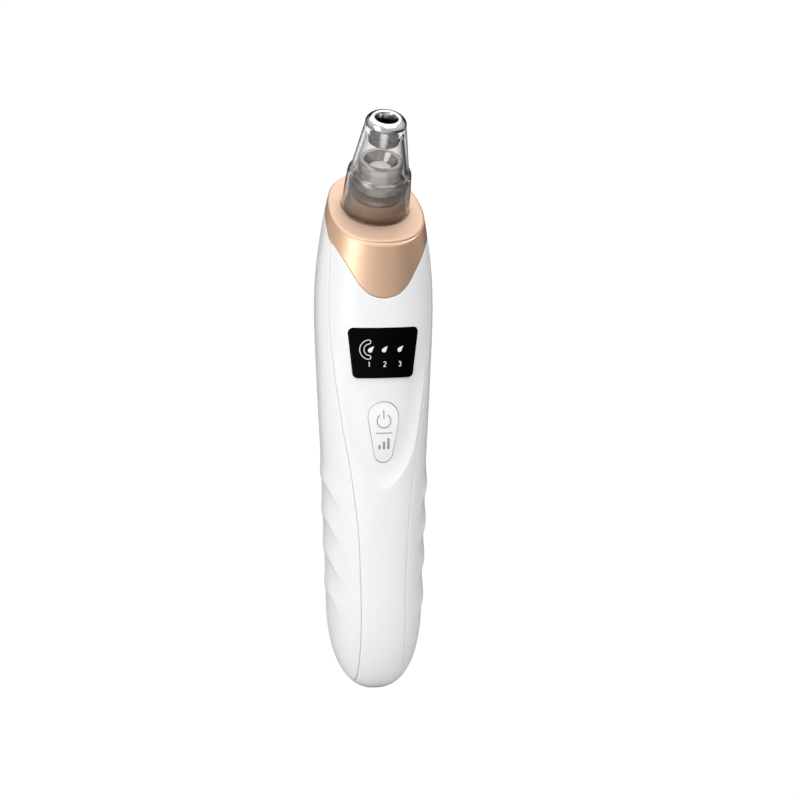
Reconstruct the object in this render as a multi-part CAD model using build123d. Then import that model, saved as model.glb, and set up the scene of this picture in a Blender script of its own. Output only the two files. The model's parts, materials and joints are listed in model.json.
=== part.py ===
from build123d import *
import os
from math import cos, exp, log, pi, radians, sin

# Hand-held blackhead vacuum extractor. Millimetres, +Z up, front towards -Y, origin at the centre of
# the base. The body axis is vertical, and the head leans forwards.

# ---------------------------------------------------------------- driving dimensions
SECTION_POWER = 2.3          # superellipse exponent of the body's cross-section
SECTION_POINTS = 24
DOME_TOP = 28.0              # the rounded end reaches this high
DOME_POWER = 2.4
DOME_CUT = 0.6               # the flat at the bottom trims this much off the dome
WALL = 1.8
SHELL_GAP = 0.12             # visible gap between neighbouring shells

# height, half width, front depth, back depth
STATIONS = [
    (28.0, 13.95, 16.2, 17.2),
    (50.0, 14.65, 16.2, 18.4),
    (67.0, 15.2, 16.2, 19.0),
    (92.0, 16.4, 16.2, 19.3),
    (113.0, 17.1, 16.2, 18.8),
    (120.0, 16.9, 16.4, 18.2),
    (126.0, 16.4, 16.7, 17.4),
    (133.4, 15.4, 17.0, 16.3),
    (143.0, 13.6, 17.2, 14.4),
    (153.0, 10.8, 16.5, 12.3),
    (160.0, 8.6, 15.0, 10.5),
]
DOME_LEVELS = [0.0, 0.8, 2.2, 4.4, 7.6, 12.0, 18.0]

HEAD_TILT = 33.0             # degrees that the probe leans forwards
HEAD_ORIGIN = (0.0, -2.5, 142.6)
COLLAR_BAND = 4.0            # collar depth at the sides and back, square to its top face
COLLAR_PLATE = 2.0
SKIRT_GAP = 0.1              # the collar's skirt slips inside the shells
SKIRT_WALL = 1.0
SKIRT_REACH = 3.0
NECK_R = 7.3                 # gold neck and the thick part of the spout
NECK_H = 4.4

# Seam between the front and rear shells, (half width, height), as seen from the front
SEAM = [(6.9, -2.0), (6.6, 22.0), (7.1, 45.0), (9.0, 64.0), (11.9, 82.5), (13.8, 97.5),
        (14.8, 110.0), (14.85, 118.0), (14.2, 133.0), (13.0, 150.0)]
SEAM_Y = -3.0                # the front shell's edge under the base

# Right half of the collar tongue's lower edge, (half width, height)
TONGUE = [(0.0, 117.2), (3.4, 117.9), (6.5, 120.3), (9.3, 124.6), (11.9, 129.0), (13.3, 131.5), (14.6, 133.6)]
TONGUE_Y = -8.5

# Scooped shield around the button and the display
SCOOP_DEPTH = 0.95
SCOOP_TIP_Z = 61.4
SCOOP_TIP_ANGLE = 46.0       # slope of the two lower edges
SCOOP_SIDE_X = 8.6           # half width where the sides begin
SCOOP_SIDE_Z = 69.6
SCOOP_SIDE_ANGLE = 8.6       # lean of the sides from vertical
SCOOP_ROUND = 1.1
SCOOP_BAND = 4.2             # width of the sloped border
SCOOP_FADE = (96.0, 114.0)   # heights between which it runs out into the body
SCOOP_CLEAR = 0.12

DISPLAY_BOTTOM = (8.8, 94.35)
DISPLAY_TOP = (10.15, 108.75)
DISPLAY_CORNER_R = 0.8
DISPLAY_Y = -15.65
DISPLAY_CURVE_R = 27.0
DISPLAY_THICK = 1.2

BUTTON_TOP_R = 4.4
BUTTON_TOP_Z = 83.1
BUTTON_LOW_R = 2.7
BUTTON_LOW_Z = 72.5
BUTTON_Y = -15.6
BUTTON_FLANGE_Y = (-14.05, -13.7)
BUTTON_POCKET_Y = -14.15
BUTTON_GAP = 0.12
BUTTON_PRESS_Z = 80.0

RIDGE_TOPS = [62.5, 51.5, 40.6, 29.4]
RIDGE_R = 4.0
RIDGE_PROUD = 0.35

SEAL_R = 8.3
HOLE_R = 3.0
SLEEVE_R = 4.3

BATTERY_R = 7.0
BATTERY_Y = 1.2
BATTERY_Z = (13.0, 63.0)

PUMP_Y = 3.0
MOTOR_R = 9.8
MOTOR_Z = (68.0, 90.0)
ROTOR_Z = (75.0, 85.0)
PUMP_R = 11.6
PUMP_WALL = 1.2
SHAFT_R = 1.0
RUNNING = 0.03               # radial running clearance of shafts
WOBBLE_TILT = 5.0            # degrees of the wobble plate's pin
WOBBLE_PIVOT_Z = 100.0
CUP_CIRCLE_R = 6.5
PUMP_SCREW_R = 9.3

BOARD_Y = (-12.4, -11.4)
BOARD_SCREWS = [(-4.9, 70.6), (4.9, 70.6), (-4.9, 91.0), (4.9, 91.0)]
FRAME_Y = (-10.4, -9.0)

HEAD = Plane(origin=HEAD_ORIGIN, x_dir=(1, 0, 0),
             z_dir=(0, -sin(radians(HEAD_TILT)), cos(radians(HEAD_TILT))))
BIG = 120.0


# ---------------------------------------------------------------- helpers
def signed_power(value, power):
    return abs(value) ** power * (1 if value >= 0 else -1)


def dome_scale(z):
    """How much of the full section is left at height z in the rounded end."""
    t = min(1.0, max(0.0, 1.0 - (z + DOME_CUT) / (DOME_TOP + DOME_CUT)))
    return (1.0 - t ** DOME_POWER) ** (1.0 / DOME_POWER)


def between_stations(z):
    """Half width, front depth and back depth at height z, straight between stations."""
    for low, high in zip(STATIONS, STATIONS[1:]):
        if z <= high[0]:
            t = max(0.0, (z - low[0]) / (high[0] - low[0]))
            return [low[i] + (high[i] - low[i]) * t for i in (1, 2, 3)]
    return list(STATIONS[-1][1:])


def section(z, size):
    """One superellipse section of the body as a face at height z."""
    half_width, front, back = size
    points = []
    for i in range(SECTION_POINTS):
        angle = 2 * pi * i / SECTION_POINTS
        depth = front if cos(angle) > 0 else back
        x = half_width * signed_power(sin(angle), 2 / SECTION_POWER)
        y = -depth * signed_power(cos(angle), 2 / SECTION_POWER)
        points.append((x, y, z))
    return make_face(Spline(*points, periodic=True))


def body_solid(inset=0.0):
    """The body's outer form, or the same form inset by a wall."""
    full = STATIONS[0][1:]
    sections = []
    for level in DOME_LEVELS:
        scale = dome_scale(level)
        size = [value * scale - inset for value in full]
        sections.append(section(level + inset * (1 - level / DOME_TOP), size))
    for z, *size in STATIONS:
        sections.append(section(z, [value - inset for value in size]))
    return loft(sections)


def above_head(height):
    """Half space above a plane parallel to the head, height measured along the head axis."""
    return HEAD * Pos(0, 0, height + BIG / 2) * Box(BIG, BIG, BIG)


def front_plane(y):
    """Plane facing forwards, local x to the right and local y up."""
    return Plane(origin=(0, y, 0), x_dir=(1, 0, 0), z_dir=(0, -1, 0))


def front_prism(sketch, y_back, y_front):
    """A front-view outline made solid between two depths."""
    return extrude(front_plane(y_back) * sketch, amount=y_back - y_front)


def mirrored_outline(right_half):
    """Left and right points of a curve that is symmetric about x = 0 and starts on it."""
    left = [(-x, z) for x, z in reversed(right_half) if x > 0]
    return left + right_half


def revolved(profile, place):
    """A closed (radius, height) profile turned about the local z axis of place."""
    face = Plane.XZ * make_face(Polyline(*profile, close=True))
    return place * revolve(face, Axis.Z, 360)


def upright(y, z=0.0):
    return Location((0, y, z))


def rod(radius, z_low, z_high, x=0.0, y=0.0):
    return Pos(x, y, (z_low + z_high) / 2) * Cylinder(radius, z_high - z_low)


def ring(outer, inner, z_low, z_high, y=0.0):
    return rod(outer, z_low, z_high, 0, y) - rod(inner, z_low - 1, z_high + 1, 0, y)


def block(x_range, y_range, z_range):
    size = [high - low for low, high in (x_range, y_range, z_range)]
    middle = [(high + low) / 2 for low, high in (x_range, y_range, z_range)]
    return Pos(*middle) * Box(*size)


def cable(points, radius):
    """A round cable through the given points."""
    path = Spline(*points)
    return sweep(Plane(origin=path @ 0, z_dir=path % 0) * Circle(radius), path=path)


def group(solids):
    return Compound(children=list(solids))


# ---------------------------------------------------------------- shells
def seam_prism(grow):
    """Everything in front of the seam, grown sideways by grow."""
    right = [(x + grow, z) for x, z in SEAM]
    left = [(-x, z) for x, z in reversed(right)]
    outline = Spline(*right) + Line(right[-1], left[0]) + Spline(*left) + Line(left[-1], right[0])
    return front_prism(make_face(outline), SEAM_Y + grow, -40)


def collar_region(grow):
    """Space that belongs to the collar: the head band and the tongue, grown by grow."""
    edge = mirrored_outline([(x, z - grow) for x, z in TONGUE])
    top = 160
    outline = Spline(*edge) + Polyline(edge[-1], (edge[-1][0], top), (edge[0][0], top), edge[0])
    tongue = front_prism(make_face(outline), TONGUE_Y, -40)
    return above_head(-COLLAR_BAND - grow) + tongue


def scoop_inside(x, z):
    """Distance inside the shield outline: negative outside, smooth where its edges meet."""
    tip = radians(SCOOP_TIP_ANGLE)
    side = radians(SCOOP_SIDE_ANGLE)
    distances = []
    for hand in (-1, 1):
        distances.append((z - SCOOP_TIP_Z) * cos(tip) - hand * x * sin(tip))
        distances.append((SCOOP_SIDE_X - hand * x) * cos(side) + (z - SCOOP_SIDE_Z) * sin(side))
    return -SCOOP_ROUND * log(sum(exp(-d / SCOOP_ROUND) for d in distances))


def scoop_depth(x, z):
    """Depth of the scoop below the body's surface, negative where the body is left alone."""
    reach = scoop_inside(x, z) / SCOOP_BAND
    slope = 2 * reach if reach < 0 else 1 - (1 - min(1.0, reach)) ** 2
    low, high = SCOOP_FADE
    t = min(1.0, max(0.0, (z - low) / (high - low)))
    fade = 1 - t * t * (3 - 2 * t)
    return SCOOP_DEPTH * slope * fade - SCOOP_CLEAR * (1 - fade)


def scoop_tool():
    """Solid in front of the scoop's floor. Its floor is one smooth surface."""
    rows = []
    for j in range(34):
        z = 56.0 + 62.0 * j / 33
        half_width, front, _ = between_stations(z)
        row = []
        for i in range(33):
            s = 0.9 * (i / 16 - 1)
            x = half_width * s
            y = -front * (1 - abs(s) ** SECTION_POWER) ** (1 / SECTION_POWER)
            row.append(Vector(x, y + scoop_depth(x, z), z))
        rows.append(row)
    floor = Face.make_surface_from_array_of_points(rows, tol=0.02)
    return extrude(floor, amount=14, dir=(0, -1, 0))


def button_outline(grow=0.0):
    """Egg shape: a large round at the top and a small one below, joined by tangents."""
    top = Pos(0, BUTTON_TOP_Z) * Circle(BUTTON_TOP_R + grow)
    low = Pos(0, BUTTON_LOW_Z) * Circle(BUTTON_LOW_R + grow)
    return make_hull(top.edges() + low.edges())


def display_outline(grow=0.0):
    (bx, bz), (tx, tz) = DISPLAY_BOTTOM, DISPLAY_TOP
    face = make_face(Polyline((-bx - grow, bz - grow), (bx + grow, bz - grow),
                              (tx + grow, tz + grow), (-tx - grow, tz + grow), close=True))
    return fillet(face.vertices(), DISPLAY_CORNER_R)


def grip_ridge(hand, top_z):
    """One soft diagonal ridge on the side of the rear shell, fading out at both ends."""
    points = []
    for y, drop, sink in ((6.0, -2.5, 1.6), (1.0, -1.2, 0.3), (-4.0, 0.0, 0.0), (-8.0, 2.4, 0.25), (-11.6, 6.4, 1.9)):
        z = top_z - drop
        half_width, front, back = between_stations(z)
        depth = front if y < 0 else back
        x = half_width * (1 - abs(y / depth) ** SECTION_POWER) ** (1 / SECTION_POWER)
        inward = RIDGE_R - RIDGE_PROUD + sink
        run = (x / half_width ** 2, y / depth ** 2)
        length = (run[0] ** 2 + run[1] ** 2) ** 0.5
        points.append((hand * (x - inward * run[0] / length), y - inward * run[1] / length, z))
    return cable(points, RIDGE_R)


def charging_mouth():
    return block((-4.05, 4.05), (-1.6, 1.6), (-1, 7))


def make_shells():
    cavity = body_solid(WALL) - above_head(-COLLAR_PLATE)
    outer = body_solid() - above_head(0)
    skin = outer - cavity

    skirt = body_solid(WALL + SKIRT_GAP) - body_solid(WALL + SKIRT_GAP + SKIRT_WALL)
    skirt -= above_head(-COLLAR_PLATE + 0.5)
    skirt &= above_head(-COLLAR_BAND - SKIRT_REACH)
    collar = (skin & collar_region(0)) + skirt
    collar += HEAD * Pos(0, 0, NECK_H / 2 - 0.5) * Cylinder(NECK_R, NECK_H + 1)
    collar -= HEAD * Cylinder(5.05, 40)

    white = skin - collar_region(SHELL_GAP)
    front = (white & seam_prism(-SHELL_GAP / 2)) - scoop_tool()
    front -= front_prism(button_outline(BUTTON_GAP), 0, -30)
    front -= front_prism(button_outline(0.8), 0, BUTTON_POCKET_Y)
    front -= front_prism(display_outline(0.08), 0, -30)

    ridges = [grip_ridge(hand, z) for hand in (-1, 1) for z in RIDGE_TOPS]
    rear = white - seam_prism(SHELL_GAP / 2)
    for ridge in ridges:
        rear += ridge - cavity
    rear -= seam_prism(SHELL_GAP / 2)
    rear -= charging_mouth()
    return front, rear, collar


# ---------------------------------------------------------------- display and button
def display_window():
    lens = Pos(0, DISPLAY_Y + DISPLAY_CURVE_R, 100) * Cylinder(DISPLAY_CURVE_R, 60)
    lens -= Pos(0, DISPLAY_Y + DISPLAY_CURVE_R, 100) * Cylinder(DISPLAY_CURVE_R - DISPLAY_THICK, 60)
    return lens & front_prism(display_outline(), -5, -30)


def power_button():
    """Keycap with a crowned face, a flange behind the shell and a stem for the switch."""
    crown = Pos(0, BUTTON_Y + 30, 78.5) * Sphere(30)
    cap = front_prism(button_outline(), BUTTON_FLANGE_Y[1], -20) & crown
    flange = front_prism(button_outline(0.5), BUTTON_FLANGE_Y[1], BUTTON_FLANGE_Y[0])
    return cap + flange


def display_board():
    board = block((-7.2, 7.2), BOARD_Y, (68, 111))
    for x, z in BOARD_SCREWS:
        board -= front_prism(Pos(x, z) * Circle(0.95), 0, -30)
    return board


def board_screws():
    screws = []
    for x, z in BOARD_SCREWS:
        head = front_prism(Pos(x, z) * Circle(1.3), BOARD_Y[0], BOARD_Y[0] - 0.5)
        shank = front_prism(Pos(x, z) * Circle(0.8), FRAME_Y[1] + 0.2, BOARD_Y[0])
        screws.append(head + shank)
    return group(screws)


def display_leds():
    return group(block((x - 0.8, x + 0.8), (BOARD_Y[0] - 0.6, BOARD_Y[0]), (102.3, 103.3))
                 for x in (-4.1, 0.1, 4.5))


def tact_switch_body():
    body = block((-2.3, 2.3), (BOARD_Y[0] - 0.95, BOARD_Y[0]), (BUTTON_PRESS_Z - 2.3, BUTTON_PRESS_Z + 2.3))
    return body - front_prism(Pos(0, BUTTON_PRESS_Z) * Circle(0.95), BOARD_Y[0] - 0.1, -20)


def tact_switch_plunger():
    return front_prism(Pos(0, BUTTON_PRESS_Z) * Circle(0.9), BOARD_Y[0] - 0.45, BUTTON_FLANGE_Y[1] + 0.02)


# ---------------------------------------------------------------- head
def probe_cup():
    outline = [(9.0, 0.05), (10.05, 0.05), (10.1, 0.5), (9.95, 1.0), (9.15, 11.6), (9.0, 12.1), (8.7, 12.5),
               (8.35, 12.9), (8.2, 13.5), (6.0, 26.6), (5.75, 27.6), (4.35, 27.6), (4.35, 24.6),
               (4.9, 24.2), (7.1, 13.2), (7.25, 12.4), (8.0, 11.6), (8.36, 9.0), (8.36, 5.6)]
    return revolved(outline, HEAD.location)


def probe_tip():
    outline = [(HOLE_R, 22.0), (SLEEVE_R, 22.0), (SLEEVE_R, 27.65), (5.75, 27.65), (5.85, 28.0), (5.6, 28.6),
               (5.05, 29.2), (4.45, 29.6), (3.85, 29.75), (3.3, 29.7), (HOLE_R, 29.4)]
    return revolved(outline, HEAD.location)


def spout():
    outline = [(1.2, -13.0), (2.05, -13.0), (2.05, -8.0), (5.0, -8.0), (5.0, NECK_H + 0.03),
               (NECK_R, NECK_H + 0.03), (NECK_R, 6.4), (6.6, 6.4), (6.6, 7.8), (NECK_R, 7.8),
               (NECK_R, 10.2), (6.9, 10.8), (6.2, 11.2), (6.2, 15.8), (5.9, 16.2), (4.8, 16.2),
               (4.5, 15.7), (3.1, 13.4), (3.1, 11.4), (1.2, 11.4)]
    return revolved(outline, HEAD.location)


def spout_seal():
    outline = [(6.62, 6.42), (7.6, 6.42), (SEAL_R - 0.2, 6.7), (SEAL_R, 7.1), (SEAL_R - 0.2, 7.5),
               (7.6, 7.78), (6.62, 7.78)]
    return revolved(outline, HEAD.location)


def spout_nut():
    nut = extrude(RegularPolygon(7.6, 6), 3.0) - Cylinder(5.03, 20)
    return HEAD * Pos(0, 0, -COLLAR_PLATE - 3.05) * nut


def filter_sponge():
    return HEAD * Pos(0, 0, 12.55) * Cylinder(3.05, 2.2)


def head_point(height):
    """Point on the head axis, height measured from the collar's top face."""
    tilt = radians(HEAD_TILT)
    return (0, HEAD_ORIGIN[1] - height * sin(tilt), HEAD_ORIGIN[2] + height * cos(tilt))


def suction_tube():
    """Silicone tube from the pump's suction port up to the spout, straight where it grips each."""
    low = (0, PUMP_Y, 112.4)
    low_end = (0, PUMP_Y, 117.0)
    high_end = head_point(-13.6)
    high = head_point(-8.6)
    bend = Spline(low_end, high_end, tangents=[(0, 0, 1), HEAD.z_dir])
    path = Line(low, low_end) + bend + Line(high_end, high)
    start = Plane(origin=low, z_dir=(0, 0, 1))
    return sweep(start * Circle(3.0), path=path) - sweep(start * Circle(2.1), path=path)


# ---------------------------------------------------------------- power
def battery_cell():
    low, high = BATTERY_Z
    can = rod(BATTERY_R, low, high - 0.8, 0, BATTERY_Y)
    return can + rod(2.7, high - 0.9, high, 0, BATTERY_Y)


def battery_tabs():
    low, high = BATTERY_Z
    return group([block((-2.0, 2.0), (BATTERY_Y - 5.5, BATTERY_Y + 2), (low - 0.2, low)),
                  block((-2.0, 2.0), (BATTERY_Y - 5.5, BATTERY_Y + 2), (high, high + 0.2))])


def charge_board():
    return block((-5.0, 5.0), (1.4, 2.4), (4.6, 12.0))


def charging_socket():
    shell = block((-3.75, 3.75), (-1.35, 1.38), (0.9, 6.2))
    shell -= block((-3.45, 3.45), (-1.05, 1.08), (0, 5.8))
    tongue = block((-2.4, 2.4), (-0.3, 0.3), (1.6, 6.0))
    return shell + tongue


def battery_leads():
    low, high = BATTERY_Z
    y = BATTERY_Y - 5.0
    negative = [(-1.2, y, low - 0.72), (-3.0, -2.5, 10.0), (-4.0, 0.8, 8.0)]
    positive = [(1.2, y, high + 0.72), (2.8, -7.3, high - 3), (3.2, -7.6, 50), (3.2, -7.6, 30), (3.4, -6.9, 16),
                (4.0, 0.8, 8.0)]
    return group([cable(negative, 0.45), cable(positive, 0.45)])


# ---------------------------------------------------------------- chassis
def inner_frame():
    """Chassis plate with clips that hold the battery and the motor."""
    low_y, high_y = FRAME_Y
    frame = block((-8.0, 8.0), FRAME_Y, (16, 66)) + block((-9.2, 9.2), FRAME_Y, (66, 112))
    frame -= front_prism(Pos(0, 40) * Rectangle(5, 30), 0, -30)
    for hand in (-1, 1):
        frame -= front_prism(Pos(hand * 3.35, 65.2) * Circle(1.3), 0, -30)
    for x, z in BOARD_SCREWS:
        frame += front_prism(Pos(x, z) * Circle(1.7), low_y, BOARD_Y[1])
        frame -= front_prism(Pos(x, z) * Circle(0.8), 0, -30)
    for z in (18.0, 54.0):
        frame += battery_clip(z)
    for z in (73.0, 83.0):
        frame += motor_clip(z)
    return frame


def battery_clip(z):
    clip = ring(BATTERY_R + 1.25, BATTERY_R + 0.05, z, z + 4, BATTERY_Y)
    clip -= block((-5.2, 5.2), (BATTERY_Y + 2, BATTERY_Y + 12), (z - 1, z + 5))
    arms = block((-7.4, -4.6), (FRAME_Y[1] - 0.2, BATTERY_Y - 4), (z, z + 4))
    arms += block((4.6, 7.4), (FRAME_Y[1] - 0.2, BATTERY_Y - 4), (z, z + 4))
    return clip + (arms - rod(BATTERY_R + 0.05, z - 1, z + 5, 0, BATTERY_Y))


def motor_clip(z):
    clip = ring(MOTOR_R + 1.25, MOTOR_R + 0.05, z, z + 3, PUMP_Y)
    clip -= block((-8.0, 8.0), (PUMP_Y + 3, PUMP_Y + 14), (z - 1, z + 4))
    arms = block((-9.0, -5.5), (FRAME_Y[1] - 0.2, PUMP_Y - 6), (z, z + 3))
    arms += block((5.5, 9.0), (FRAME_Y[1] - 0.2, PUMP_Y - 6), (z, z + 3))
    return clip + (arms - rod(MOTOR_R + 0.05, z - 1, z + 4, 0, PUMP_Y))


# ---------------------------------------------------------------- motor
def motor_can():
    low, high = MOTOR_Z
    can = rod(MOTOR_R, low, high, 0, PUMP_Y) - rod(MOTOR_R - 0.8, low - 1, high - 1, 0, PUMP_Y)
    return can - rod(3.0, low, high + 1, 0, PUMP_Y)


def motor_end_cap():
    low = MOTOR_Z[0]
    cap = ring(MOTOR_R - 0.82, 3.0, low, low + 2, PUMP_Y)
    for hand in (-1, 1):
        cap -= rod(0.7, low - 1, low + 3, hand * 6, PUMP_Y)
    return cap


def motor_bearings():
    low, high = MOTOR_Z
    bore = SHAFT_R + RUNNING
    return group([ring(3.0, bore, low, low + 2, PUMP_Y), ring(3.0, bore, high - 1, high + 1.2, PUMP_Y)])


def motor_magnets():
    low = MOTOR_Z[0] + 5
    high = MOTOR_Z[0] + 18
    sleeve = ring(MOTOR_R - 0.85, 7.4, low, high, PUMP_Y)
    gap = block((-3.0, 3.0), (PUMP_Y - 12, PUMP_Y + 12), (low - 1, high + 1))
    return sleeve - gap


def motor_armature():
    """Three-pole rotor: a hub with three arms that end in pole shoes."""
    low, high = ROTOR_Z
    rotor = rod(2.4, low, high)
    shoes = ring(7.1, 5.7, low, high)
    for k in range(3):
        rotor += Rot(0, 0, 120 * k) * block((1.5, 6.2), (-1.0, 1.0), (low, high))
        shoes -= Rot(0, 0, 120 * k + 60) * block((3, 9), (-0.8, 0.8), (low - 1, high + 1))
    return upright(PUMP_Y) * (rotor + shoes - rod(SHAFT_R, low - 1, high + 1))


def motor_windings():
    """A copper coil round each of the rotor's three arms."""
    low, high = ROTOR_Z
    coils = []
    for k in range(3):
        coil = block((2.6, 5.2), (-2.0, 2.0), (low - 1.0, high + 1.0))
        coil -= block((2, 6), (-1.02, 1.02), (low - 0.02, high + 0.02))
        coils.append(upright(PUMP_Y) * Rot(0, 0, 120 * k) * coil)
    return group(coils)


def motor_commutator():
    low = MOTOR_Z[0] + 2.6
    high = MOTOR_Z[0] + 5.6
    drum = ring(2.6, SHAFT_R, low, high)
    for k in range(3):
        drum -= Rot(0, 0, 120 * k) * block((1.8, 4), (-0.2, 0.2), (low - 1, high + 1))
    return upright(PUMP_Y) * drum


def motor_brushes():
    low = MOTOR_Z[0] + 3
    brushes = []
    for hand in (-1, 1):
        inner = hand * 2.66
        outer = hand * 4.4
        brushes.append(block(sorted((inner, outer)), (PUMP_Y - 0.7, PUMP_Y + 0.7), (low, low + 2))
                       + block(sorted((hand * 3.6, hand * 4.4)), (PUMP_Y - 0.7, PUMP_Y + 0.7),
                               (MOTOR_Z[0] + 2, low + 0.5)))
    return group(brushes)


def motor_shaft():
    return rod(SHAFT_R, MOTOR_Z[0] - 0.5, MOTOR_Z[1] + 5.5, 0, PUMP_Y)


def motor_leads():
    low = MOTOR_Z[0]
    leads = []
    for hand in (-1, 1):
        points = [(hand * 6, PUMP_Y, low + 1.5), (hand * 6, PUMP_Y, low - 0.5),
                  (hand * 5.0, -4.5, low - 2.6), (hand * 3.4, -9.0, low - 2.8),
                  (hand * 3.3, -10.6, low - 2.6), (hand * 3.2, -11.9, low - 0.4)]
        leads.append(cable(points, 0.45))
    return group(leads)


# ---------------------------------------------------------------- pump
def screw_spots():
    return [(PUMP_SCREW_R * cos(radians(a)), PUMP_Y + PUMP_SCREW_R * sin(radians(a))) for a in (30, 150, 270)]


def cup_spots():
    return [(CUP_CIRCLE_R * cos(radians(a)), PUMP_Y + CUP_CIRCLE_R * sin(radians(a))) for a in (90, 210, 330)]


def drilled(solid, spots, radius, z_low, z_high):
    for x, y in spots:
        solid -= rod(radius, z_low, z_high, x, y)
    return solid


def crank_housing():
    """Open drum between the motor and the diaphragm, with three screw bosses."""
    low = MOTOR_Z[1]
    housing = ring(PUMP_R, PUMP_R - PUMP_WALL, low, 104, PUMP_Y)
    housing += ring(PUMP_R, 3.05, low, low + 1.4, PUMP_Y)
    for x, y in screw_spots():
        housing += rod(1.7, low, 104, x, y)
    housing -= rod(3.0, low - 1, low + 1.5, 0, PUMP_Y)
    return drilled(housing, screw_spots(), 0.75, low + 4, 105)


def pin_axis():
    """Unit vector of the wobble plate's pin at rest, leaning towards +X."""
    tilt = radians(WOBBLE_TILT)
    return (sin(tilt), 0, cos(tilt))


def pin_place(height):
    """Place on the pin's axis, height measured from the point where it meets the shaft axis."""
    tilt = radians(WOBBLE_TILT)
    return Plane(origin=(height * sin(tilt), PUMP_Y, WOBBLE_PIVOT_Z + height * cos(tilt)), z_dir=pin_axis())


def crank():
    """Drum on the shaft that carries the leaning pin."""
    drum = rod(4.2, 92.0, 96.0, 0, PUMP_Y) - rod(SHAFT_R, 91, MOTOR_Z[1] + 5.5, 0, PUMP_Y)
    pin = pin_place(-3.65) * Cylinder(SHAFT_R, 6.5)
    socket = rod(SHAFT_R + 0.01, 90, MOTOR_Z[1] + 5.5, 0, PUMP_Y)
    return drum + (pin - socket)


def wobble_plate():
    """Three arms on a hub that runs on the leaning pin; the arms drive the diaphragm cups."""
    hub = Cylinder(2.3, 2.6)
    arms = Part()
    for a in (90, 210, 330):
        arms += Rot(0, 0, a) * (Pos(CUP_CIRCLE_R / 2, 0, 0.7) * Box(CUP_CIRCLE_R, 2.4, 1.0)
                                + Pos(CUP_CIRCLE_R, 0, 0.7) * Cylinder(1.9, 1.0))
    plate = hub + arms
    for a in (90, 210, 330):
        plate -= Rot(0, 0, a) * Pos(CUP_CIRCLE_R, 0, 0) * Cylinder(1.0, 8)
    plate -= Pos(0, 0, -1) * Cylinder(SHAFT_R + RUNNING, 3.4)
    return pin_place(-1.0) * plate


def diaphragm():
    """Rubber sheet with three cups whose stems pass through the wobble plate's arms."""
    sheet = rod(PUMP_R - 0.1, 104, 105.2, 0, PUMP_Y)
    for x, y in cup_spots():
        sheet += rod(3.0, 101.6, 104.1, x, y)
        sheet += rod(0.5, 97.2, 101.7, x, y)
        sheet -= rod(2.4, 102.2, 106, x, y)
    return drilled(sheet, screw_spots(), 1.05, 100, 110)


def valve_plate():
    plate = rod(PUMP_R - 0.05, 105.2, 107.2, 0, PUMP_Y)
    plate = drilled(plate, screw_spots(), 1.05, 100, 110)
    for x, y in cup_spots():
        plate -= rod(0.55, 105, 108, x, y)
        plate -= rod(0.5, 105, 108, x + 1.5, y)
        plate -= rod(0.5, 105, 108, x - 1.5, y)
    return plate


def valve_flaps():
    return group(rod(2.3, 107.2, 107.7, x, y) + rod(0.54, 105.6, 107.3, x, y) for x, y in cup_spots())


def pump_cover():
    """Cover with the suction port in the middle and the exhaust port at its edge."""
    cover = rod(PUMP_R - 0.05, 107.2, 112.2, 0, PUMP_Y) - rod(10.0, 106, 110.8, 0, PUMP_Y)
    cover += ring(3.0, 1.9, 107.2, 111, PUMP_Y)
    cover += rod(2.05, 111, 116.5, 0, PUMP_Y)
    for x, y in screw_spots():
        cover += rod(1.9, 107.2, 111, x, y)
    cover &= rod(PUMP_R - 0.05, 107.2, 120, 0, PUMP_Y)
    cover -= rod(1.0, 106, 118, 0, PUMP_Y)
    cover -= rod(0.8, 109, 113, 0, PUMP_Y + 6.5)
    return drilled(cover, screw_spots(), 1.05, 100, 113)


def pump_screws():
    return group(rod(0.75, 95.5, 112.3, x, y) + rod(1.6, 112.2, 113.3, x, y) for x, y in screw_spots())


# ---------------------------------------------------------------- build
def all_parts():
    front, rear, collar = make_shells()
    return {
        "front_shell": front,
        "rear_shell": rear,
        "collar": collar,
        "display_window": display_window(),
        "power_button": power_button(),
        "probe_cup": probe_cup(),
        "probe_tip": probe_tip(),
        "spout": spout(),
        "spout_seal": spout_seal(),
        "spout_nut": spout_nut(),
        "filter_sponge": filter_sponge(),
        "suction_tube": suction_tube(),
        "inner_frame": inner_frame(),
        "display_board": display_board(),
        "display_leds": display_leds(),
        "board_screws": board_screws(),
        "tact_switch_body": tact_switch_body(),
        "tact_switch_plunger": tact_switch_plunger(),
        "battery_cell": battery_cell(),
        "battery_tabs": battery_tabs(),
        "battery_leads": battery_leads(),
        "charge_board": charge_board(),
        "charging_socket": charging_socket(),
        "motor_can": motor_can(),
        "motor_end_cap": motor_end_cap(),
        "motor_bearings": motor_bearings(),
        "motor_magnets": motor_magnets(),
        "motor_armature": motor_armature(),
        "motor_windings": motor_windings(),
        "motor_commutator": motor_commutator(),
        "motor_brushes": motor_brushes(),
        "motor_shaft": motor_shaft(),
        "motor_leads": motor_leads(),
        "crank_housing": crank_housing(),
        "crank": crank(),
        "wobble_plate": wobble_plate(),
        "diaphragm": diaphragm(),
        "valve_plate": valve_plate(),
        "valve_flaps": valve_flaps(),
        "pump_cover": pump_cover(),
        "pump_screws": pump_screws(),
    }


os.makedirs("parts", exist_ok=True)
for name, shape in all_parts().items():
    export_step(shape, os.path.join("parts", name + ".step"))
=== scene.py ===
"""Looks of the hand-held blackhead vacuum extractor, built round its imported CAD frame.

Sizes are in millimetres and are turned into metres when a mesh is made. Front is -Y, up is +Z.
"""

import json
import math

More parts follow.
